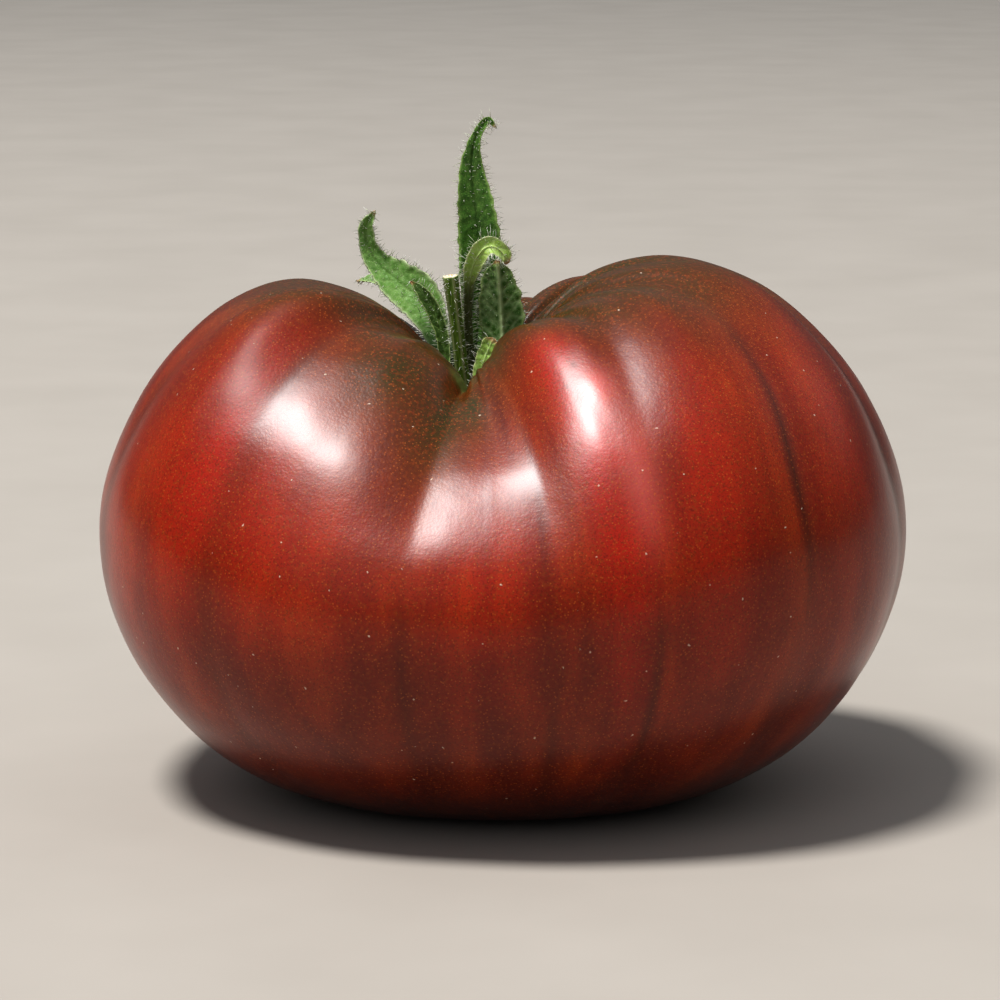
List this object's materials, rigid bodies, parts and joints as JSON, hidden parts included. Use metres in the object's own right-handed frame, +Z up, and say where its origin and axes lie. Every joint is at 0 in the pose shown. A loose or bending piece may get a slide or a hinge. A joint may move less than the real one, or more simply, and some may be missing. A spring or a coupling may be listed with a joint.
{
  "type": "tomato",
  "caption": "Ripe beefsteak tomato, broad and lobed with a deep stem cavity, keeping its green calyx and a stub of cut stalk.",
  "frame": {"origin": "on the surface that the fruit stands on, under the middle of its box", "axes": "+X along the wide side of the fruit, +Z up through the stem end, +Y away from the low side of the stem cavity"},
  "size_m": [0.1096, 0.0921, 0.0911],
  "materials": {
    "skin": "smooth waxy skin, mahogany red with olive-brown shoulders and creases, soft broad highlights",
    "calyx": "matt, slightly fleshy green",
    "stalk": "matt ribbed green stem with fine hairs and a pale cut end",
    "sepal": "matt dark green leaf with veins and fine hairs",
    "sepal_pale": "matt light green leaf with veins and fine hairs"
  },
  "bodies": {
    "root": {"fruit": "skin", "calyx_base": "calyx", "stalk": "stalk", "sepal_tall": "sepal", "sepal_right": "sepal", "sepal_arched": "sepal_pale", "sepal_short": "sepal_pale", "sepal_left_curled": "sepal", "sepal_left_dark": "sepal", "sepal_left_back": "sepal_pale"}
  },
  "joints": []
}
